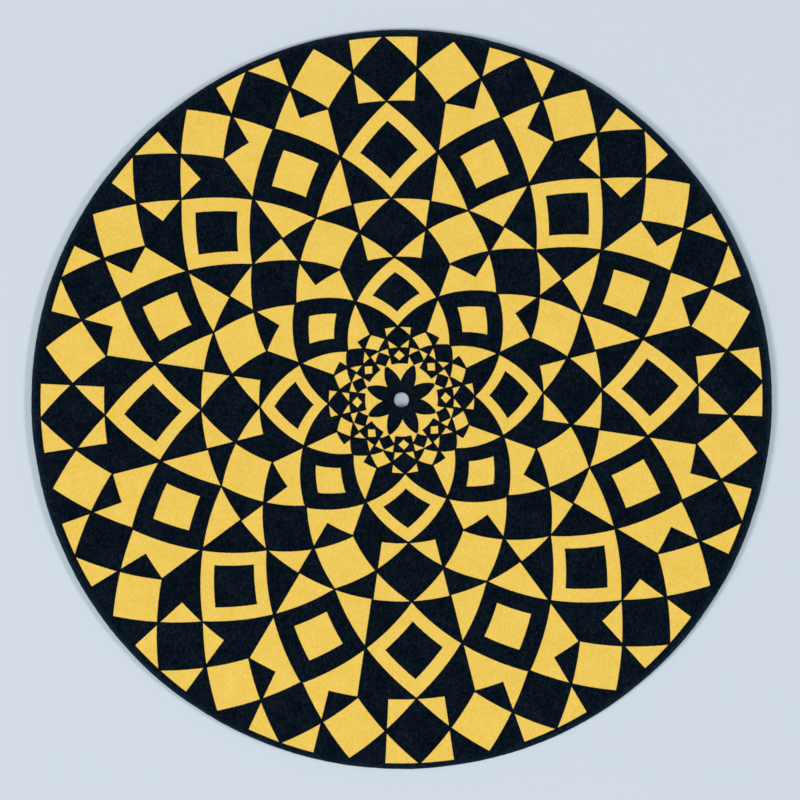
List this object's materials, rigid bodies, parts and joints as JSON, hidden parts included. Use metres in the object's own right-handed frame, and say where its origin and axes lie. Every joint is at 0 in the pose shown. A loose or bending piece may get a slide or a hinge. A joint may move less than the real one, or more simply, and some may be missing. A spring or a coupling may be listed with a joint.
{
  "type": "turntable platter mat",
  "caption": "Flat round mat of pressed felt with a small centre hole, which lies on a record player's platter and carries the record.",
  "frame": {"origin": "centre of the spindle hole, on the plane of the underside", "axes": "+Z along the spindle, up out of the printed face; +Y is the top of the picture and +X its right"},
  "size_m": [0.295, 0.295, 0.0025],
  "materials": {
    "printed_felt": "matt pressed felt, near-black through, with a matt warm yellow print on the upper face"
  },
  "bodies": {
    "root": {"felt_mat": "printed_felt"}
  },
  "joints": []
}
